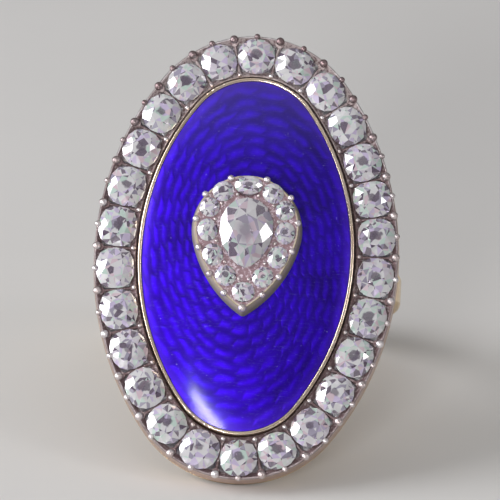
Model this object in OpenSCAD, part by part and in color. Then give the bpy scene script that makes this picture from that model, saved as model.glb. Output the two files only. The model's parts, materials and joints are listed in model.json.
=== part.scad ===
// Remembrance ring, in millimetres: a long oval head of gold and silver on a plain gold hoop.
// The head is drawn face up, x across the finger, y along it, z out of the head, with the middle of
// the finger hole at the origin. rest_pose() then lays the ring on its side, as it rests on a table.

/* [Head oval] */
// Half of the stone line's length, along the finger
line_half_length = 13.45; // [13.2:0.05:13.7]
// Half of the stone line's width, across the finger
line_half_width = 8.6; // [8.5:0.05:8.8]

/* [Gold hoop] */
// Radius of the finger hole
finger_radius = 8.65; // [8.2:0.05:9.2]
// Width of the hoop at the sides and back of the finger
hoop_width = 2.2; // [2:0.1:2.6]
// Thickness of the hoop's metal
hoop_thickness = 1.65; // [1.3:0.05:1.65]
// Width of the shoulders where they meet the back plate
shoulder_width = 7.6; // [6:0.2:9]
// Thickness of the shoulders' metal over the finger, under the back plate
strap_thickness = 0.5; // [0.4:0.05:0.7]
// Thickness of the oval back plate
plate_thickness = 0.45; // [0.4:0.05:0.6]

/* [Surround] */
// Height of the stones' widest level above the back plate
girdle_height = 1.6; // [1.55:0.05:1.8]
// Space left between neighbouring stones along the line
stone_gap = 0.09; // [0.08:0.01:0.14]
// Height of a stone above its widest level
crown_height = 0.42; // [0.35:0.01:0.5]
// Depth of a stone below its widest level
pavilion_depth = 1.02; // [0.95:0.01:1.05]
// Radius of the claws between two stones
joint_claw_radius = 0.28; // [0.24:0.01:0.3]
// Radius of the claws at the middle of a stone
middle_claw_radius = 0.2; // [0.18:0.01:0.22]
// Radius of the inner beads between two stones
inner_bead_radius = 0.17; // [0.14:0.01:0.19]

/* [Enamel plaque] */
// Height of the gold rim above the back plate
rim_height = 1.85; // [1.75:0.05:1.95]
// Width of the gold rim
rim_width = 0.24; // [0.2:0.01:0.28]
// Rise of the domed enamel above its edge
dome_rise = 0.95; // [0.8:0.05:1.1]

/* [Pear cluster] */
// Height of the cluster's stone bed above the top of the dome
cluster_height = 1.4; // [1.3:0.05:1.6]
// Outward slope of the cup's wall from its bed to its foot
cup_flare = 0.27; // [0.2:0.01:0.32]
// Width of the pear-shaped stone
centre_width = 3.55; // [3.3:0.05:3.6]
// Length of the pear-shaped stone
centre_length = 4.7; // [4.4:0.05:4.8]

/* [Hidden] */
$fn = 64;
tau = 360/PI/2;   // degrees in a radian
fit = 0.03;       // space between separate pieces
bite = 0.05;      // overlap of parts that are one piece

// The stone line is a four-centre oval: an arc round each end and a flatter arc along each side.
// They meet on lines that rise 3 for every 4 across, so that the centres make 3:4:5 triangles.
oval_unit = (line_half_length - line_half_width)/2;
line_end_radius = line_half_width - oval_unit;
side_radius = line_end_radius + 5*oval_unit;
side_centre = 4*oval_unit;
end_centre = 3*oval_unit;
end_half_angle = atan2(4, 3);
side_half_angle = 90 - end_half_angle;
end_half_length = line_end_radius*end_half_angle/tau;
side_half_length = side_radius*side_half_angle/tau;
line_length = 4*(end_half_length + side_half_length);

// Surround stones, clockwise from the top: share of the line, size across the line, squareness
SHARE = 0; ACROSS = 1; SQUARENESS = 2;
surround_table = [
    [2.45, 2.40, 2.2], [2.60, 2.40, 2.2], [2.60, 2.42, 2.2], [2.60, 2.46, 2.3], [2.50, 2.48, 2.4],
    [2.40, 2.50, 2.9], [2.52, 2.50, 2.7], [2.65, 2.44, 2.4], [2.63, 2.48, 2.3], [2.65, 2.48, 2.3],
    [2.60, 2.44, 2.2], [2.65, 2.42, 2.2], [2.50, 2.44, 2.2], [2.45, 2.46, 2.2], [2.60, 2.62, 2.2],
    [2.65, 2.56, 2.2], [2.70, 2.52, 2.3], [2.65, 2.48, 2.3], [2.65, 2.52, 2.4], [2.70, 2.52, 2.6],
    [2.65, 2.52, 2.6], [2.65, 2.48, 2.4], [2.55, 2.46, 2.3], [2.60, 2.44, 2.2], [2.55, 2.42, 2.2],
    [2.35, 2.40, 2.2]];
surround_count = len(surround_table);
function shares_before(i) = i == 0 ? 0 : shares_before(i - 1) + surround_table[i - 1][SHARE];
share_length = (line_length - surround_count*stone_gap) / shares_before(surround_count);
function stone_width(i) = surround_table[i][SHARE]*share_length;
// Place of a stone's middle along the line, and of the joint after it
function stone_place(i) = (shares_before(i) - surround_table[0][SHARE]/2)*share_length
    + stone_width(i)/2 + i*stone_gap;
function joint_place(i) = stone_place(i) + (stone_width(i) + stone_gap)/2;

// Cluster stones, right half from the top down: across, along, width, size across the row
cluster_pairs = [[1.63, 3.76, 1.42, 1.32], [2.48, 2.66, 1.30, 1.32], [2.54, 1.15, 1.50, 1.32],
    [2.12, -0.48, 1.50, 1.34], [1.22, -1.84, 1.42, 1.34]];
cluster_top = [0, 4.24, 1.84, 1.26];
cluster_tip = [0, -2.86, 1.50, 1.32];
function mirrored(row) = [-row[0], row[1], row[2], row[3]];
cluster_table = concat([cluster_top], cluster_pairs, [cluster_tip],
    [for (i = [len(cluster_pairs) - 1:-1:0]) mirrored(cluster_pairs[i])]);
cluster_count = len(cluster_table);
// Beads on the cup's edge, right half from the top down: across, along
edge_beads = [[1.18, 4.66], [2.80, 3.52], [3.33, 1.86], [3.06, -0.02], [2.26, -1.76],
    [1.26, -2.98]];

// One node for each piece, with the stones numbered from the top clockwise

// Heights above the middle of the finger hole
plate_bottom = finger_radius + strap_thickness;
head_base = plate_bottom + plate_thickness;
girdle_level = head_base + girdle_height;
rim_level = head_base + rim_height;
dome_edge_level = rim_level - 0.08;
dome_level = dome_edge_level + dome_rise;
bed_level = dome_level + cluster_height;

// Distances outward from the stone line
wall_foot = 1.47;
wall_top = 1.4;
plate_edge = 1.48;
groove_half = 1.28;
crest_inner = -1.34;
surround_inner = -1.46;
rim_outer = surround_inner - fit;
rim_inner = rim_outer - rim_width;
enamel_edge = rim_inner - 0.02;
ledge_drop = 0.45;
groove_depth = pavilion_depth + 0.08;
tray_floor = 0.35;
edge_rounding = 0.2;

// The dome is the top of an ellipsoid somewhat larger than the plaque.
dome_spread = 1.15;
dome_height = dome_rise/(1 - sqrt(1 - 1/pow(dome_spread, 2)));

// The cup's edge is a pear of four arcs: round top, two flanks and a small tip. The top meets the
// flanks on 9:40:41 triangles and they meet the tip on 60:91:109 triangles.
pear_middle = 1.5;
pear_radius = 3.4;
flank_across = 4.2;
flank_rise = flank_across*9/40;
flank_radius = pear_radius + flank_across*41/40;
tip_radius = flank_radius - flank_across*109/60;
pear_tip = pear_middle + flank_rise - flank_across*91/60;

// The ring lies on the lower edge of its back plate and the back corner of its hoop.
corner_rounding = 0.45;
hole_bevel = 0.15;
hoop_outer = finger_radius + hoop_thickness;
plate_contact = [-(line_half_length + plate_edge - edge_rounding), plate_bottom + edge_rounding];
hoop_contact = [-(hoop_width/2 - corner_rounding), -(hoop_outer - corner_rounding)];
contact_span = plate_contact - hoop_contact;
lean = atan2(contact_span[1], -contact_span[0])
    - asin((edge_rounding - corner_rounding)/norm(contact_span));
drop = plate_contact[0]*sin(lean) + plate_contact[1]*cos(lean) - edge_rounding;
// Rough front and back of the lying ring, whose middle is put at the origin
front_reach = -(line_half_length + wall_top)*cos(lean) - (girdle_level + 0.1)*sin(lean);
back_reach = hoop_width/2*cos(lean) + (hoop_outer - 0.12)*sin(lean);
centring = -(front_reach + back_reach)/2;

module rest_pose() {
    translate([0, centring, -drop]) rotate([lean, 0, 0]) children();
}

// Direction of the line's outward normal, clockwise from the top, at a place along the line
function facing(place) =
    let (s = place < 0 ? place + line_length : place,
         s1 = end_half_length, s2 = s1 + 2*side_half_length,
         s3 = s2 + 2*end_half_length, s4 = s3 + 2*side_half_length)
    s < s1 ? s*tau/line_end_radius :
    s < s2 ? end_half_angle + (s - s1)*tau/side_radius :
    s < s3 ? 180 - end_half_angle + (s - s2)*tau/line_end_radius :
    s < s4 ? 180 + end_half_angle + (s - s3)*tau/side_radius :
    360 - end_half_angle + (s - s4)*tau/line_end_radius;

// The point of the oval that faces that way, moved outward
function oval_point(angle, outward) =
    let (at_side = abs(sin(angle)) > sin(end_half_angle))
    (at_side ? [-side_centre*sign(sin(angle)), 0] : [0, end_centre*sign(cos(angle))])
    + ((at_side ? side_radius : line_end_radius) + outward)*[sin(angle), cos(angle)];

// Stands its children on the line, their y axis outward
module on_line(place, outward, level) {
    point = oval_point(facing(place), outward);
    translate([point[0], point[1], level]) rotate([0, 0, -facing(place)]) children();
}

// Sweeps a profile, x outward from an arc of that radius and y up, through a wedge from its centre
module arc_sweep(centre, radius, wedge) {
    translate(centre) intersection() {
        rotate_extrude() translate([radius, 0]) children();
        linear_extrude(height = 60, center = true) polygon(concat([[0, 0]], wedge));
    }
}

// Sweeps a profile, x outward from the stone line and y up, round the oval
module oval_sweep() {
    for (turn = [0, 180]) rotate([0, 0, turn]) {
        arc_sweep([0, end_centre], line_end_radius, [[40, 30], [40, 60], [-40, 60], [-40, 30]])
            children();
        arc_sweep([-side_centre, 0], side_radius, [[40, -30], [40, 30]]) children();
    }
}

// The flat oval area within a line parallel to the stone line
module oval_area(outward) {
    for (end = [-1, 1]) translate([0, end*end_centre]) circle(r = line_end_radius + outward);
    intersection() {
        translate([-side_centre, 0]) circle(r = side_radius + outward);
        translate([side_centre, 0]) circle(r = side_radius + outward);
        square([2*(line_half_width + outward) + 1,
            2*(end_centre + (line_end_radius + outward)*cos(end_half_angle))], center = true);
    }
}

module pear_area(outward) {
    translate([0, pear_middle]) circle(r = pear_radius + outward);
    intersection() {
        translate([-flank_across, pear_middle + flank_rise]) circle(r = flank_radius + outward);
        translate([flank_across, pear_middle + flank_rise]) circle(r = flank_radius + outward);
        translate([-pear_radius, pear_tip - 1])
            square([2*pear_radius, pear_middle - (pear_radius + outward)*9/41 - pear_tip + 1]);
    }
}

// Sweeps a profile, x outward from the pear's edge and y up, round the pear
module pear_sweep() {
    arc_sweep([0, pear_middle], pear_radius, [[40, -9], [40, 40], [-40, 40], [-40, -9]]) children();
    for (side = [0, 1]) mirror([side, 0, 0])
        arc_sweep([-flank_across, pear_middle + flank_rise], flank_radius, [[60, -91], [400, -90]])
            children();
    arc_sweep([0, pear_tip], tip_radius, [[-60, -91], [60, -91]]) children();
}

// Outlines of stones as 16 points, with main facets at the even ones
function squarish_outline(width, across, squareness) = [for (k = [0:15])
    let (c = cos(k*22.5), s = sin(k*22.5),
         reach = pow(pow(abs(c), squareness) + pow(abs(s), squareness), -1/squareness))
    reach*[c*width/2, s*across/2]];
pear_taper = 0.3;
function pear_reach(angle) = sin(angle)*pow(abs(cos(angle/2)), pear_taper);
function pear_outline(width, length) =
    let (widest = max([for (a = [60:2:90]) pear_reach(a)]))
    [for (k = [0:15]) let (a = 90 - k*22.5) [width/2*pear_reach(a)/widest, length/2*cos(a)]];

// An old-cut stone: table, 8 stars, 8 mains, 16 upper and 16 lower facets, 8 pavilion mains, culet
table_part = 0.5;
crown_part = 0.74;
crown_part_height = (1 - crown_part*cos(22.5))/(1 - table_part);
pavilion_part = 0.54;
culet_part = 0.15;
pavilion_part_depth = (1 - pavilion_part*cos(22.5))/(1 - culet_part*cos(22.5));
module cut_stone(outline, crown, pavilion) {
    function ring(part, first, step, level) = [for (k = [first:step:15])
        [part*outline[k][0], part*outline[k][1], level]];
    points = concat(
        ring(table_part, 0, 2, crown), ring(crown_part, 1, 2, crown*crown_part_height),
        ring(1, 0, 1, 0),
        ring(pavilion_part, 1, 2, -pavilion*pavilion_part_depth), ring(culet_part, 1, 2, -pavilion));
    faces = concat(
        [[for (k = [7:-1:0]) k]],
        [for (k = [0:7]) let (
            corner = k, next = (k + 1)%8, mid = 8 + k, mid_before = 8 + (k + 7)%8,
            edge = 16 + 2*k, edge_mid = edge + 1, edge_next = 16 + (2*k + 2)%16,
            low = 32 + k, low_before = 32 + (k + 7)%8, tip = 40 + k, tip_before = 40 + (k + 7)%8)
            each [[corner, next, mid], [corner, edge, mid_before], [corner, mid, edge],
                [mid, edge_mid, edge], [mid, edge_next, edge_mid],
                [low, edge, edge_mid], [low, edge_mid, edge_next],
                [edge, low, tip], [edge, tip, tip_before], [edge, tip_before, low_before]]],
        [[for (k = [0:7]) 40 + k]]);
    polyhedron(points, faces);
}

// Hoop section, x outward from the finger hole's middle and y along the finger
module hoop_section() {
    half = hoop_width/2;
    translate([finger_radius, 0]) difference() {
        polygon([[0, half - hole_bevel], [hole_bevel, half], [hoop_thickness, half],
            [hoop_thickness, -half], [hole_bevel, -half], [0, hole_bevel - half]]);
        for (side = [-1, 1])
            rounded_corner([hoop_thickness, side*half], [-1, -side], corner_rounding);
    }
}

// What a rounding takes off a corner, whose sides run the ways given by the signs in inward
module rounded_corner(corner, inward, radius) {
    translate(corner) scale([inward[0], inward[1]]) difference() {
        translate([-bite, -bite]) square(radius + bite);
        translate([radius, radius]) circle(r = radius);
    }
}

// Shoulders seen from the side, flaring from the flat of the hoop to the plate
module shoulder_area() {
    start = hoop_width/2 - 0.7*corner_rounding;
    top = plate_bottom + bite;
    spread = shoulder_width/2 - start;
    flare_radius = (pow(top, 2) + pow(spread, 2))/(2*spread);
    difference() {
        translate([-shoulder_width/2, 0]) square([shoulder_width, top]);
        for (side = [-1, 1]) translate([side*(start + flare_radius), 0])
            circle(r = flare_radius);
    }
}

module shank() rest_pose() color("gold") {
    // Hoop, cut off level inside the plate
    intersection() {
        rotate([90, 0, 0]) rotate_extrude() hoop_section();
        translate([0, 0, plate_bottom + bite - 15]) cube([30, 30, 30], center = true);
    }
    intersection() {
        rotate([90, 0, 90]) linear_extrude(height = 30, center = true) shoulder_area();
        rotate([90, 0, 0]) difference() {
            cylinder(h = 20, r = hoop_outer, center = true);
            cylinder(h = 21, r = finger_radius, center = true);
        }
    }
    translate([0, 0, plate_bottom]) {
        linear_extrude(height = plate_thickness) oval_area(0);
        oval_sweep() difference() {
            translate([-bite, 0]) square([plate_edge + bite, plate_thickness]);
            rounded_corner([plate_edge, 0], [-1, 1], edge_rounding);
        }
    }
}

module surround_section() {
    lip = girdle_height - 0.1;
    crest = girdle_height - 0.12;
    bottom = girdle_height - groove_depth;
    groove_floor = 0.15;
    polygon([[wall_foot, fit], [wall_foot - 0.03, 0.4], [wall_top, 1], [wall_top, lip - 0.1],
        [wall_top - 0.06, lip], [groove_half, lip], [groove_half - 0.05, lip - 0.06],
        [groove_floor, bottom], [-groove_floor, bottom], [-groove_half + 0.05, crest - 0.01],
        [-groove_half - 0.01, crest + 0.03], [crest_inner, crest], [crest_inner, crest - ledge_drop],
        [surround_inner, crest - ledge_drop], [surround_inner, fit]]);
}

// A claw with its stem down the wall, at the origin of the level where it holds the stone
module claw(radius, stem) {
    sphere(r = radius);
    translate([0, 0, -stem]) cylinder(h = stem, r1 = 0.03, r2 = radius - 0.05);
}

// Space for a stone's edge: x outward from the stone's middle and y up
module edge_space(across) {
    half = across/2 + 0.02;
    rotate([90, 0, 90]) linear_extrude(height = 0.8, center = true)
        polygon([[0.5*across/2, crown_height*1.02], [half, 0],
            [culet_part*across/2, -pavilion_depth], [-0.5, 0]]);
}

// The low wall between two stones' seats, with posts where the stones round away from each other
module seat_wall() {
    // Posts outside and inside the stone line: place outward, radius of the foot and of the top
    posts = [[1.05, 0.42, 0.24], [-1.06, 0.33, 0.15]];
    post_foot = -0.92;
    post_height = 0.73;
    rotate([90, 0, 0]) linear_extrude(height = 2*groove_half - 0.1, center = true)
        polygon([[-0.05, -0.24], [0.05, -0.24], [0.5, -groove_depth - bite],
            [-0.5, -groove_depth - bite]]);
    for (post = posts) translate([0, post[0], post_foot])
        cylinder(h = post_height, r1 = post[1], r2 = post[2]);
}

module surround() rest_pose() color("silver") {
    translate([0, 0, head_base]) oval_sweep() surround_section();
    for (i = [0:surround_count - 1]) {
        on_line(joint_place(i), 1.24, girdle_level) claw(joint_claw_radius, 0.7);
        on_line(joint_place(i), -1.16, girdle_level - 0.12) sphere(r = inner_bead_radius);
        on_line(joint_place(i), 0, girdle_level) seat_wall();
        on_line(stone_place(i), 0, girdle_level) difference() {
            translate([0, 1.34, 0]) claw(middle_claw_radius, 0.57);
            edge_space(surround_table[i][ACROSS]);
        }
    }
}

module surround_stone(number) rest_pose() color("lavender") {
    i = number - 1;
    on_line(stone_place(i), 0, girdle_level)
        cut_stone(squarish_outline(stone_width(i), surround_table[i][ACROSS],
            surround_table[i][SQUARENESS]), crown_height, pavilion_depth);
}

module enamel_mount() rest_pose() color("goldenrod") {
    translate([0, 0, head_base + fit]) {
        linear_extrude(height = tray_floor) oval_area(rim_inner);
        oval_sweep() difference() {
            translate([rim_inner - bite, 0]) {
                square([rim_width + bite, rim_height - fit]);
            }
            translate([rim_inner - 2*bite, tray_floor]) square([2*bite, rim_height]);
            rounded_corner([rim_outer, rim_height - fit], [-1, -1], 0.1);
            rounded_corner([rim_inner, rim_height - fit], [1, -1], 0.1);
        }
    }
}

// The ellipsoid of the dome, grown by a space
module dome(space) {
    translate([0, 0, dome_level - dome_height])
        scale([dome_spread*(line_half_width + enamel_edge) + space,
            dome_spread*(line_half_length + enamel_edge) + space, dome_height + space])
            sphere(r = 1, $fn = 96);
}

module enamel() rest_pose() color("mediumblue") {
    floor_level = head_base + tray_floor + 2*fit;
    intersection() {
        translate([0, 0, floor_level])
            linear_extrude(height = 5) oval_area(enamel_edge);
        dome(0);
    }
}

// Direction of the row of cluster stones at one of them, and the grain between it and the next
function cluster_spot(i) = [cluster_table[i][0], cluster_table[i][1]];
function cluster_turn(i) =
    let (along = cluster_spot((i + 1)%cluster_count)
        - cluster_spot((i + cluster_count - 1)%cluster_count))
    atan2(along[1], along[0]);
function cluster_grain(i) =
    let (here = cluster_spot(i), next = cluster_spot((i + 1)%cluster_count), along = next - here)
    (here + next)/2 + grain_inset/norm(along)*[along[1], -along[0]];
grain_inset = 0.44;
grain_radius = 0.13;
edge_bead_radius = 0.22;
tip_bead_radius = 0.27;
cluster_crown = 0.24;
cluster_pavilion = 0.58;
seat_foot_radius = 0.18;
cluster_girdle = bed_level + 0.06;
centre_middle = 1.05;
centre_girdle = bed_level + 0.2;
centre_crown = 0.5;
centre_pavilion = 1.35;

module on_cluster(i, level) {
    translate([cluster_table[i][0], cluster_table[i][1], level]) rotate([0, 0, cluster_turn(i)])
        children();
}

module cluster_setting() rest_pose() color("silver") {
    difference() {
        union() {
            translate([0, 0, dome_edge_level])
                linear_extrude(height = bed_level - dome_edge_level) pear_area(-0.5*bite);
            translate([0, 0, dome_edge_level]) pear_sweep()
                polygon([[-bite, 0], [cup_flare, 0], [cup_flare - 0.04, 0.9],
                    [0, bed_level - dome_edge_level - 0.06], [-0.4*bite, bed_level - dome_edge_level],
                    [-bite, bed_level - dome_edge_level]]);
        }
        dome(fit);
        for (i = [0:cluster_count - 1]) on_cluster(i, cluster_girdle - cluster_pavilion - fit)
            cylinder(h = cluster_pavilion + fit + 0.5*bite, r1 = seat_foot_radius,
                r2 = cluster_table[i][2]/2 + fit);
        translate([0, centre_middle, centre_girdle])
            cut_stone(1.03*pear_outline(centre_width, centre_length), centre_crown,
                centre_pavilion + 2*fit);
    }
    for (side = [-1, 1], bead = edge_beads) translate([side*bead[0], bead[1], bed_level])
        sphere(r = edge_bead_radius);
    translate([0, pear_tip, bed_level]) sphere(r = tip_bead_radius);
    for (i = [0:cluster_count - 1]) translate(concat(cluster_grain(i), bed_level))
        sphere(r = grain_radius);
}

module cluster_stone(number) rest_pose() color("lavender") {
    i = number - 1;
    on_cluster(i, cluster_girdle)
        cut_stone(squarish_outline(cluster_table[i][2], cluster_table[i][3], 2.1),
            cluster_crown, cluster_pavilion);
}

module centre_stone() rest_pose() color("lavender") {
    translate([0, centre_middle, centre_girdle])
        cut_stone(pear_outline(centre_width, centre_length), centre_crown, centre_pavilion);
}

shank();
surround();
enamel_mount();
enamel();
cluster_setting();
centre_stone();
for (i = [1:cluster_count]) {
    cluster_stone(i);
}
for (i = [1:surround_count]) {
    surround_stone(i);
}
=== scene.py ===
"""Looks of a remembrance ring that lies on its side: materials, light, floor and camera.

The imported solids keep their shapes. Every material works in head coordinates: millimetres from
the middle of the finger hole, with X across the head, Y along it and Z out of it.
"""

import json
import math

import bpy
from mathutils import Euler, Matrix, Vector

MM = 0.001

# The photograph, 500 x 500 pixels
IMAGE_SIZE = 500
CAMERA_AZIMUTH = 1.5        # degrees to the ring's right
CAMERA_ELEVATION = 25.0     # degrees above the table
CAMERA_ROLL = 2.1           # degrees that the top of the picture leans to the right
CAMERA_DISTANCE = 400 * MM
HEAD_PIXELS_PER_MM = 15.2
HEAD_MIDDLE_PIXEL = (246, 256)
SENSOR_WIDTH = 36.0         # millimetres

# Sizes in head coordinates, in millimetres, as in the part's source
GIRDLE = 11.2               # widest level of the surround's stones
CLUSTER_BED = 13.72         # level of the cup that the cluster's stones stand in
LAMP_TARGET = 11.4          # level that the lamps are aimed at
OVAL_CENTRES = (9.7, 7.275)     # of the stone line's side and end arcs
OVAL_RADII = (18.3, 6.175)
PLAQUE_HALF = (6.85, 11.70)     # half of the plaque's width and length
PEAR_MIDDLE = 1.5               # the cup's edge: its round top, and its two flanks
PEAR_RADIUS = 3.4
FLANK_CENTRE = (4.2, 2.445)
FLANK_RADIUS = 7.705
CENTRE_STONE = (0.0, 1.05)      # middle of the pear-shaped stone
STONE_BOX = (2.5, 2.1, 2.45)    # upright box round a usual stone of the surround

FLOOR_SIZE = 3.0            # metres

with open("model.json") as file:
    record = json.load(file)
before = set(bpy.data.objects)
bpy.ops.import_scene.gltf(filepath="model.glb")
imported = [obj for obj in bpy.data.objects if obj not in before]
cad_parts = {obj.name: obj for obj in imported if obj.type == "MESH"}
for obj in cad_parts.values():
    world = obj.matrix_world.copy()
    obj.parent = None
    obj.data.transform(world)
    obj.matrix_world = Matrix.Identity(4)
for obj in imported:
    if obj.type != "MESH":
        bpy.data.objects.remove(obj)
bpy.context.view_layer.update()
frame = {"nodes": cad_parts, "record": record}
HOLE = next(m for m in frame["record"]["mounts"] if m["name"] == "finger_hole")
HOLE_MIDDLE = Vector(HOLE["pos_m"])
ALONG = Vector(HOLE["axis"])
LEAN = math.atan2(ALONG.z, ALONG.y)
OUTWARD = Vector((0, -math.sin(LEAN), math.cos(LEAN)))


def head_point(x, y, z):
    """A place given in head coordinates, in the row frame."""
    return HOLE_MIDDLE + (Vector((x, 0, 0)) + ALONG * y + OUTWARD * z) * MM


class Nodes:
    """Short calls for building one material's node tree."""

    def __init__(self, name):
        self.material = bpy.data.materials.new(name)
        self.material.use_nodes = True
        self.tree = self.material.node_tree
        self.shader = self.tree.nodes["Principled BSDF"]

    def node(self, kind, **settings):
        made = self.tree.nodes.new(kind)
        for key, value in settings.items():
            setattr(made, key, value)
        return made

    def put(self, value, socket):
        if isinstance(value, bpy.types.NodeSocket):
            self.tree.links.new(value, socket)
        else:
            socket.default_value = value

    def math(self, operation, first, second=0.0, third=0.0, clamp=False):
        """One step of arithmetic on numbers or sockets."""
        made = self.node("ShaderNodeMath", operation=operation, use_clamp=clamp)
        for socket, value in zip(made.inputs, (first, second, third)):
            self.put(value, socket)
        return made.outputs[0]

    def mix(self, factor, first, second):
        """Mixes two colours."""
        made = self.node("ShaderNodeMix", data_type="RGBA")
        self.put(factor, made.inputs["Factor"])
        for name, value in (("A", first), ("B", second)):
            socket = next(s for s in made.inputs if s.name == name and s.type == "RGBA")
            self.put(value if isinstance(value, bpy.types.NodeSocket) else (*value, 1), socket)
        return next(s for s in made.outputs if s.type == "RGBA")

    def ramp(self, value, low, high, start=0.0, end=1.0):
        """Runs from start to end, smoothly, while value runs from low to high."""
        made = self.node("ShaderNodeMapRange", interpolation_type="SMOOTHSTEP")
        for socket, number in zip(made.inputs, (value, low, high, start, end)):
            self.put(number, socket)
        return made.outputs["Result"]

    def fall(self, value, low, high):
        """Falls from 1 to 0, smoothly, while value runs from low to high."""
        return self.ramp(value, low, high, 1.0, 0.0)

    def head_vector(self):
        """Head coordinates of the point that is shaded, in millimetres."""
        place = self.node("ShaderNodeMapping", vector_type="TEXTURE")
        place.inputs["Location"].default_value = HOLE_MIDDLE
        place.inputs["Rotation"].default_value = Euler((LEAN, 0, 0))
        place.inputs["Scale"].default_value = (MM, MM, MM)
        self.put(self.node("ShaderNodeTexCoord").outputs["Object"], place.inputs["Vector"])
        return place.outputs["Vector"]

    def split(self, vector):
        made = self.node("ShaderNodeSeparateXYZ")
        self.put(vector, made.inputs[0])
        return made.outputs

    def times(self, first, second):
        return self.math("MULTIPLY", first, second)

    def plus(self, first, second):
        return self.math("ADD", first, second)

    def minus(self, first, second):
        return self.math("SUBTRACT", first, second)

    def scaled(self, value, factor, start):
        """value times factor, plus start."""
        return self.math("MULTIPLY_ADD", value, factor, start)

    def size(self, first, second):
        """Length of a flat vector."""
        return self.math("SQRT", self.scaled(first, first, self.times(second, second)))

    def choose(self, switch, low, high):
        """low where switch is 0 and high where it is 1."""
        return self.scaled(switch, self.minus(high, low), low)

    def from_oval(self, x, y):
        """Distance outward from the stone line, an oval of four arcs."""
        side_x, end_y = OVAL_CENTRES
        x, y = self.math("ABSOLUTE", x), self.math("ABSOLUTE", y)
        side = self.minus(self.size(self.plus(x, side_x), y), OVAL_RADII[0])
        end = self.minus(self.size(x, self.minus(y, end_y)), OVAL_RADII[1])
        border = self.scaled(x, end_y / side_x, end_y)
        return self.choose(self.math("GREATER_THAN", y, border), side, end)

    def from_pear(self, x, y):
        """Distance outward from the edge of the cluster's cup, a round top and two flanks."""
        x = self.math("ABSOLUTE", x)
        top = self.minus(self.size(x, self.minus(y, PEAR_MIDDLE)), PEAR_RADIUS)
        flank = self.minus(
            self.size(self.plus(x, FLANK_CENTRE[0]), self.minus(y, FLANK_CENTRE[1])),
            FLANK_RADIUS)
        slope = (FLANK_CENTRE[1] - PEAR_MIDDLE) / FLANK_CENTRE[0]
        border = self.scaled(x, -slope, PEAR_MIDDLE)
        return self.choose(self.math("GREATER_THAN", y, border), flank, top)

    def noise(self, vector, scale, detail=3.0, roughness=0.5, distortion=0.0):
        made = self.node("ShaderNodeTexNoise")
        self.put(vector, made.inputs["Vector"])
        for name, value in (("Scale", scale), ("Detail", detail), ("Roughness", roughness),
                            ("Distortion", distortion)):
            made.inputs[name].default_value = value
        return made.outputs["Fac"]

    def stretched(self, vector, scale):
        """Coordinates times a factor for each axis."""
        made = self.node("ShaderNodeVectorMath", operation="MULTIPLY")
        self.put(vector, made.inputs[0])
        made.inputs[1].default_value = scale
        return made.outputs[0]

    def from_middle(self):
        """Distance from a stone's upright axis, where the stone's width is about 2.5."""
        centred = self.node("ShaderNodeVectorMath", operation="SUBTRACT")
        self.put(self.node("ShaderNodeTexCoord").outputs["Generated"], centred.inputs[0])
        centred.inputs[1].default_value = (0.5, 0.5, 0.5)
        turned = self.node("ShaderNodeMapping", vector_type="TEXTURE")
        turned.inputs["Rotation"].default_value = Euler((LEAN, 0, 0))
        self.put(self.stretched(centred.outputs[0], STONE_BOX), turned.inputs["Vector"])
        x, y, _ = self.split(turned.outputs["Vector"])
        return self.size(x, y)

    def bump(self, height, depth):
        """Relief of that depth in millimetres."""
        made = self.node("ShaderNodeBump")
        made.inputs["Strength"].default_value = 1.0
        made.inputs["Distance"].default_value = depth * MM
        self.put(height, made.inputs["Height"])
        return made.outputs["Normal"]

    def occlusion(self, reach):
        """1 in the open, falling to 0 in deep corners within that reach in millimetres."""
        made = self.node("ShaderNodeAmbientOcclusion", samples=8)
        made.inputs["Distance"].default_value = reach * MM
        return made.outputs["AO"]

    def set(self, **values):
        for name, value in values.items():
            self.put(value, self.shader.inputs[name.replace("_", " ")])


def worn(n, here, colour, rough, dirt, dull=0.0, clean=0.0, reach=0.5, low=0.35, high=0.8,
         relief=0.02):
    """Finishes a precious metal: fine grain and scratches, and dirt in its corners.

    dull is how far a place has lost its metal shine, and no dirt lies where clean is 1. The dirt
    is full below the openness low and ends at high, and relief is the grain's depth in
    millimetres.
    """
    grain = n.noise(here, 9.0, detail=4, roughness=0.65)
    scratches = n.noise(n.stretched(here, (1.5, 1.5, 12.0)), 6.0, detail=2, distortion=0.6)
    openness = n.scaled(grain, 0.25, n.occlusion(reach))
    hidden = n.fall(n.plus(openness, clean), low, high)
    matt = n.math("MAXIMUM", hidden, dull)
    grained = n.scaled(grain, 8 * relief + 0.06, rough)     # deep grain spreads the shine
    n.set(Base_Color=n.mix(hidden, colour, dirt),
          Metallic=n.scaled(matt, -0.85, 1.0),
          Roughness=n.scaled(matt, 0.3, grained),
          Normal=n.bump(n.scaled(scratches, 0.5, grain), relief))
    return n.material


BROWN_DIRT = (0.16, 0.08, 0.035)


def gold(name, polished, aged):
    """Polished gold with aged patches."""
    n = Nodes(name)
    here = n.head_vector()
    patches = n.ramp(n.noise(here, 0.9, detail=4), 0.40, 0.66)
    return worn(n, here, n.mix(patches, polished, aged), rough=0.16, dirt=BROWN_DIRT,
                relief=0.002)


# Colours of the two silver settings
CLAW_SILVER = (0.84, 0.79, 0.80)
AGED_SILVER = (0.62, 0.53, 0.52)
ROSY_SILVER = (0.62, 0.45, 0.38)
OLIVE_SILVER = (0.52, 0.45, 0.27)
# Tarnish in hollows and crumbs, also the painted shade on the claws
TARNISH_AND_SHADE = (0.21, 0.135, 0.14)
# Painted shade in the ledge by the gold rim and under the stones' points
PAINTED_DEEP_SHADE = (0.055, 0.035, 0.04)
DARK_OLIVE = (0.15, 0.14, 0.09)
BED_TARNISH = (0.26, 0.15, 0.17)
BED_GRAINS = (0.78, 0.66, 0.72)
FOIL = (0.95, 0.95, 0.97)


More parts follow.
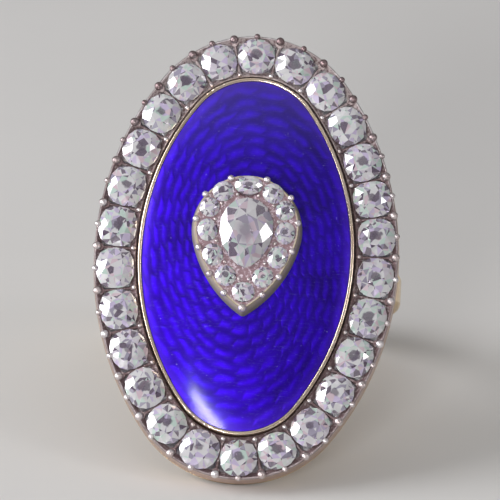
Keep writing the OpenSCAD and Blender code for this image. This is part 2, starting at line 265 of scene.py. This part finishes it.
def surround_silver():
    """Pale claws, a rosy wall, tarnish and painted shade between the stones, bright metal deep
    under them.
    """
    n = Nodes("surround_silver")
    here = n.head_vector()
    x, y, z = n.split(here)
    outward = n.from_oval(x, y)
    off_line = n.math("ABSOLUTE", outward)
    patches = n.ramp(n.noise(here, 1.1, detail=4), 0.42, 0.62)
    colour = n.mix(patches, CLAW_SILVER, AGED_SILVER)

    # Painted shade: the claws of the outer edge darken towards the top of the head
    claw_shade = n.times(n.ramp(y, 2.0, 10.0), n.ramp(outward, 0.9, 1.1))
    claw_shade = n.times(claw_shade, n.ramp(z, GIRDLE - 0.04, GIRDLE + 0.04))
    colour = n.mix(n.times(claw_shade, 0.85), colour, TARNISH_AND_SHADE)

    # The outer wall, and the lip that it ends in, darker towards the bottom of the head
    wall = n.times(n.fall(z, GIRDLE - 0.5, GIRDLE - 0.2), n.ramp(outward, 1.20, 1.30))
    colour = n.mix(n.times(wall, 0.85), colour, ROSY_SILVER)
    lip = n.times(n.ramp(outward, 1.20, 1.28), n.fall(z, GIRDLE - 0.10, GIRDLE + 0.02))
    lip = n.times(lip, n.ramp(z, GIRDLE - 0.45, GIRDLE - 0.2))
    colour = n.mix(n.times(lip, n.ramp(y, 2.0, 9.0, 0.6, 0.0)), colour, TARNISH_AND_SHADE)

    # Painted shade on the ledge between the stones and the gold rim, less dark towards the top
    ledge_shade = n.times(n.fall(outward, -1.14, -1.06), n.fall(z, GIRDLE - 0.10, GIRDLE - 0.04))
    ledge_shade = n.times(ledge_shade, n.ramp(y, 3.0, 9.0, 0.92, 0.15))
    colour = n.mix(ledge_shade, colour, PAINTED_DEEP_SHADE)

    # Crumbs of dirt in the channel round the stones
    channel = n.times(n.fall(outward, 1.26, 1.34), n.fall(z, GIRDLE - 0.15, GIRDLE - 0.04))
    crumbs = n.plus(n.noise(here, 5.0, detail=4, roughness=0.7), n.ramp(y, 6.0, 12.0, 0.0, 0.12))
    colour = n.mix(channel, colour, n.mix(n.ramp(crumbs, 0.5, 0.68), TARNISH_AND_SHADE, AGED_SILVER))

    # Bright metal under the stones, with a line of painted shade where their points stand
    deep = n.times(n.fall(off_line, 1.0, 1.1), n.fall(z, GIRDLE - 0.5, GIRDLE - 0.34))
    under_stones = n.mix(n.ramp(off_line, 0.16, 0.26), PAINTED_DEEP_SHADE, FOIL)
    colour = n.mix(deep, colour, under_stones)

    dull = n.times(n.times(channel, n.minus(1.0, deep)), 0.8)
    return worn(n, here, colour, rough=0.22, dirt=TARNISH_AND_SHADE, dull=dull, clean=deep, reach=0.3,
                low=0.15, high=0.5)


def cluster_silver():
    """Pale beads, an olive wall, a red-brown bed and bright metal under the stones."""
    n = Nodes("cluster_silver")
    here = n.head_vector()
    x, y, z = n.split(here)
    inside = n.fall(n.from_pear(x, y), -0.16, -0.04)
    patches = n.ramp(n.noise(here, 1.6, detail=4), 0.42, 0.62)
    crumbs = n.ramp(n.noise(here, 5.5, detail=4, roughness=0.7), 0.50, 0.66)
    colour = n.mix(patches, CLAW_SILVER, AGED_SILVER)

    # The cup's wall, darker towards its foot
    low = n.fall(z, CLUSTER_BED - 0.02, CLUSTER_BED + 0.10)
    wall = n.times(low, n.minus(1.0, inside))
    colour = n.mix(wall, colour, n.mix(n.times(crumbs, 0.5), OLIVE_SILVER, AGED_SILVER))
    foot = n.times(wall, n.ramp(z, CLUSTER_BED - 1.3, CLUSTER_BED - 0.2, 0.7, 0.0))
    colour = n.mix(foot, colour, DARK_OLIVE)

    # The bed between the stones, and their seats
    bed = n.times(low, inside)
    colour = n.mix(bed, colour, n.mix(crumbs, BED_TARNISH, BED_GRAINS))
    deep = n.times(inside, n.fall(z, CLUSTER_BED - 0.25, CLUSTER_BED - 0.12))
    colour = n.mix(deep, colour, FOIL)

    dull = n.times(n.times(low, n.minus(1.0, deep)), 0.65)
    return worn(n, here, colour, rough=0.24, dirt=TARNISH_AND_SHADE, dull=dull, clean=deep, reach=0.25,
                low=0.1, high=0.4)


ROWS = 12.5                 # of engine-turned strokes from the plaque's middle to its edge
END_ROWS = 1.3              # more of them towards its top and bottom
STROKES = 27                # in each row
DEEP_BLUE = (0.014, 0.0, 0.19)
BRIGHT_BLUE = (0.045, 0.0, 0.81)
# Painted sheen round the plaque's edge
EDGE_SHEEN_BLUE = (0.10, 0.03, 0.75)
# Painted reflection of the bright room towards the plaque's top
SKY_REFLECTION_BLUE = (0.22, 0.18, 0.45)
MARK_BLUE = (0.45, 0.40, 0.85)


def engine_turning(n, here, across, along, reach):
    """Slanting rows of strokes round the plaque, 1 along the middle of each stroke."""
    # row is the number of the row that a point lies in, with its place between rows
    turn = n.math("DIVIDE", n.math("ARCTAN2", n.times(across, 0.7), along), math.tau)
    upright = n.math("DIVIDE", n.times(along, along), n.math("MAXIMUM", reach, 0.05))
    bend = n.scaled(n.noise(here, 0.6, detail=1), 0.8, -0.4)
    row = n.scaled(upright, END_ROWS, n.scaled(reach, ROWS, bend))

    # part runs from 0 to 1 along each stroke
    slip = n.scaled(n.noise(here, 1.0, detail=1), 0.6, -0.3)
    shift = n.plus(n.times(row, 0.3), n.times(n.math("ROUND", row), 0.55))
    part = n.math("FRACT", n.plus(n.scaled(turn, -STROKES, slip), shift))

    slanted = n.plus(row, n.scaled(part, 0.2, -0.1))
    ridge = n.scaled(n.math("COSINE", n.times(slanted, math.tau)), 0.5, 0.5)
    fade = n.times(n.ramp(part, 0.0, 0.18), n.ramp(part, 0.55, 1.0, 1.0, 0.1))
    return n.times(ridge, fade)


def enamel():
    """Glossy translucent blue over an engine-turned ground, with painted sheen, reflection and
    shade.

    across and along run from the plaque's middle to its edge, where they are 1.
    """
    n = Nodes("enamel")
    here = n.head_vector()
    x, y, _ = n.split(here)
    across = n.math("DIVIDE", x, PLAQUE_HALF[0])
    along = n.math("DIVIDE", y, PLAQUE_HALF[1])
    reach = n.size(across, along)
    cut = engine_turning(n, here, across, along, reach)
    uneven = n.scaled(n.noise(here, 1.4, detail=2), 1.5, 0.2)
    glow = n.times(n.scaled(cut, 0.95, 0.08), uneven)
    # Painted shade: the strokes darken towards the right of the plaque
    glow = n.times(glow, n.ramp(x, -3.0, 6.5, 1.0, 0.7))
    cloud = n.ramp(n.noise(here, 0.45, detail=3), 0.3, 0.7)
    shade = n.math("ADD", n.times(glow, 0.62), n.times(cloud, 0.28), clamp=True)
    colour = n.mix(shade, DEEP_BLUE, BRIGHT_BLUE)
    # Painted sheen: a lighter violet band all round the plaque's edge
    colour = n.mix(n.times(n.ramp(reach, 0.88, 0.985), 0.3), colour, EDGE_SHEEN_BLUE)
    # Painted reflection of the bright room: a milky haze towards the top of the plaque
    colour = n.mix(n.times(n.ramp(along, 0.45, 1.0), 0.16), colour, SKY_REFLECTION_BLUE)

    # Fine specks and hairline scratches in the glaze
    specks = n.ramp(n.noise(here, 4.0, detail=3, roughness=0.7), 0.69, 0.74)
    hairs = n.noise(n.stretched(here, (0.35, 3.2, 1.0)), 1.6, detail=3, distortion=1.2)
    hairs = n.fall(n.math("ABSOLUTE", n.minus(hairs, 0.5)), 0.0, 0.006)
    marks = n.math("MAXIMUM", n.times(specks, 0.35), n.times(hairs, 0.12))
    colour = n.mix(marks, colour, MARK_BLUE)
    n.set(Base_Color=colour, Metallic=n.scaled(marks, -0.7, 0.84), Roughness=0.5,
          Specular_IOR_Level=0.2, Normal=n.bump(cut, 0.018),
          Coat_Weight=1.0, Coat_Roughness=0.13, Coat_IOR=1.28)
    return n.material


DIAMOND_IOR = 2.42
# Painted shade: the pear's lilac eye, and the dark eye over each stone's point
EYE_SHADE_LILAC = (0.40, 0.34, 0.43)
CULET_SHADE_COLOUR = (0.12, 0.08, 0.14)


def facet_reflections(n, here, tint):
    """A mosaic of painted reflections, mostly pale, one for each facet and each chip seen through
    it.
    """
    flat = n.node("ShaderNodeVectorMath", operation="SNAP")
    n.put(n.node("ShaderNodeNewGeometry").outputs["True Normal"], flat.inputs[0])
    flat.inputs[1].default_value = (0.05, 0.05, 0.05)
    facet = n.node("ShaderNodeTexWhiteNoise", noise_dimensions="3D")
    n.put(flat.outputs[0], facet.inputs["Vector"])
    chips = n.node("ShaderNodeTexVoronoi")
    chips.inputs["Scale"].default_value = 1.9
    n.put(here, chips.inputs["Vector"])
    chip = n.split(chips.outputs["Color"])[0]
    place = n.math("FRACT", n.plus(facet.outputs["Value"], chip))
    colours = n.node("ShaderNodeValToRGB")
    colours.color_ramp.interpolation = "CONSTANT"
    # The colours are painted reflections: pale ones, dark facets and pink glints
    # Where each colour starts, as a share of all the facets
    bands = ((0.0, (1.0, 0.99, 1.0)), (0.32, tint), (0.44, (0.82, 0.70, 1.0)),
             (0.56, (0.74, 0.95, 0.84)), (0.67, (0.46, 0.42, 0.55)), (0.80, (0.17, 0.12, 0.19)),
             (0.93, (0.96, 0.74, 0.82)))
    for start, colour in bands[2:]:
        colours.color_ramp.elements.new(start)
    for element, (start, colour) in zip(colours.color_ramp.elements, bands):
        element.position, element.color = start, (*colour, 1)
    n.put(place, colours.inputs[0])
    return colours.outputs[0]


def culet_eye_shade(n, here):
    """Painted shade: the dark eye over a stone's point. Its size and depth differ from stone to
    stone.
    """
    chance = n.node("ShaderNodeObjectInfo").outputs["Random"]
    rough_edge = n.scaled(n.noise(here, 3.0, detail=1), 0.4, -0.2)
    middle = n.minus(n.plus(n.from_middle(), rough_edge), n.times(chance, 0.25))
    return n.times(n.ramp(middle, 0.12, 0.26, 0.85, 0.0), n.ramp(chance, 0.1, 0.4))


def diamond(name, tint, eye=None):
    """An old cut stone, clear under its coloured facets, which are painted reflections and shade.

    eye is the place of a stone's painted dark middle, across and along the head, where it shows.
    """
    n = Nodes(name)
    here = n.head_vector()
    # Painted reflections on the facets, with painted shade over the stone's point
    colour = n.mix(culet_eye_shade(n, here), facet_reflections(n, here, tint), CULET_SHADE_COLOUR)
    if eye:
        # Painted shade: a lilac eye in the pear's middle, fainter over the rest of it
        x, y, _ = n.split(here)
        off = n.size(n.minus(x, eye[0]), n.times(n.minus(y, eye[1]), 0.75))
        off = n.scaled(n.noise(here, 1.5), 0.6, off)
        colour = n.mix(n.ramp(off, 0.55, 1.15, 0.8, 0.25), colour, EYE_SHADE_LILAC)
    rubbed = n.ramp(n.noise(here, 7.0, detail=3), 0.55, 0.75)
    n.set(Base_Color=colour, Roughness=n.times(rubbed, 0.03), IOR=DIAMOND_IOR,
          Transmission_Weight=0.5)
    return n.material


def dress(node, material):
    """Gives a node of the frame its material."""
    slots = frame["nodes"][node].data.materials
    slots.clear()
    slots.append(material)


def dress_all():
    """Gives every node its material. The stones take three kinds in turn, but for the pear."""
    dress("shank", gold("yellow_gold", polished=(0.90, 0.68, 0.38), aged=(0.80, 0.56, 0.30)))
    dress("enamel_mount", gold("pale_gold", polished=(0.94, 0.80, 0.64),
                               aged=(0.87, 0.69, 0.52)))
    dress("surround", surround_silver())
    dress("cluster_setting", cluster_silver())
    dress("enamel", enamel())
    stones = [diamond("diamond_clear", (0.95, 0.97, 0.96)),
              diamond("diamond_lilac", (0.95, 0.88, 0.98)),
              diamond("diamond_green", (0.90, 0.97, 0.92))]
    named = sorted(name for name in frame["nodes"] if "stone" in name)
    for i, name in enumerate(named):
        dress(name, stones[i % len(stones)])
    dress("centre_stone", diamond("diamond_pear", (0.80, 0.85, 0.83), CENTRE_STONE))


def floor():
    """A plain pale table top."""
    n = Nodes("pale_floor")
    here = n.node("ShaderNodeTexCoord").outputs["Object"]
    n.set(Base_Color=n.mix(n.noise(here, 60.0), (0.65, 0.64, 0.62), (0.69, 0.68, 0.66)),
          Roughness=0.7)
    mesh = bpy.data.meshes.new("floor")
    half = FLOOR_SIZE / 2
    mesh.from_pydata([(-half, -half, 0), (half, -half, 0), (half, half, 0), (-half, half, 0)],
                     [], [(0, 1, 2, 3)])
    mesh.materials.append(n.material)
    made = bpy.data.objects.new("floor", mesh)
    bpy.context.collection.objects.link(made)


def sky():
    """A soft grey room, brighter overhead."""
    world = bpy.data.worlds.new("room")
    bpy.context.scene.world = world
    world.use_nodes = True
    tree = world.node_tree
    background = tree.nodes["Background"]
    coord = tree.nodes.new("ShaderNodeTexCoord")
    height = tree.nodes.new("ShaderNodeSeparateXYZ")
    ramp = tree.nodes.new("ShaderNodeValToRGB")
    tree.links.new(coord.outputs["Generated"], height.inputs[0])
    tree.links.new(height.outputs["Z"], ramp.inputs[0])
    tree.links.new(ramp.outputs[0], background.inputs["Color"])
    low, high = ramp.color_ramp.elements
    low.position, low.color = 0.55, (0.30, 0.29, 0.30, 1)
    high.position, high.color = 0.95, (1.0, 1.0, 1.0, 1)
    background.inputs["Strength"].default_value = 0.55


def lamp(name, toward, distance, size, power, colour=(1, 1, 1), roll=0):
    """A soft rectangular lamp. toward is its direction from the head, in head coordinates.

    distance and size are in metres, power in watts and roll in degrees.
    """
    target = head_point(0, 0, LAMP_TARGET)
    direction = (Vector((toward[0], 0, 0)) + ALONG * toward[1] + OUTWARD * toward[2]).normalized()
    data = bpy.data.lights.new(name, "AREA")
    data.shape = "RECTANGLE"
    data.size, data.size_y = size
    data.energy = power
    data.color = colour
    made = bpy.data.objects.new(name, data)
    made.matrix_world = (Matrix.Translation(target + direction * distance)
                         @ direction.to_track_quat("Z", "Y").to_matrix().to_4x4()
                         @ Matrix.Rotation(math.radians(roll), 4, "Z"))
    bpy.context.collection.objects.link(made)


def lamps():
    """A small window, a wide lamp at the left and a weak one at the right."""
    lamp("window", toward=(-0.235, -0.256, 0.94), distance=0.60, size=(0.05, 0.16), power=1.4,
         roll=50)
    lamp("side", toward=(-0.91, 0.20, 0.36), distance=0.55, size=(0.31, 0.43), power=3.2,
         colour=(0.97, 0.97, 1.0))
    lamp("fill", toward=(0.80, 0.10, 0.60), distance=0.60, size=(0.12, 0.18), power=0.45,
         colour=(1.0, 0.97, 0.97))


def camera():
    """Sees the head as the photograph does."""
    azimuth, elevation = math.radians(CAMERA_AZIMUTH), math.radians(CAMERA_ELEVATION)
    back = Vector((math.sin(azimuth) * math.cos(elevation),
                   -math.cos(azimuth) * math.cos(elevation), math.sin(elevation)))
    turn = back.to_track_quat("Z", "Y").to_matrix() @ Matrix.Rotation(
        math.radians(CAMERA_ROLL), 3, "Z")
    middle = IMAGE_SIZE / 2
    offset = Vector((middle - HEAD_MIDDLE_PIXEL[0], HEAD_MIDDLE_PIXEL[1] - middle, 0))
    aim = head_point(0, 0, GIRDLE) + turn @ offset * (MM / HEAD_PIXELS_PER_MM)
    data = bpy.data.cameras.new("camera")
    data.sensor_width = SENSOR_WIDTH
    data.lens = SENSOR_WIDTH * HEAD_PIXELS_PER_MM / MM * CAMERA_DISTANCE / IMAGE_SIZE
    data.clip_start = 0.01
    made = bpy.data.objects.new("camera", data)
    made.matrix_world = Matrix.Translation(aim + back * CAMERA_DISTANCE) @ turn.to_4x4()
    bpy.context.collection.objects.link(made)
    bpy.context.scene.camera = made


bpy.context.scene.view_settings.view_transform = "Standard"
dress_all()
floor()
sky()
lamps()
camera()
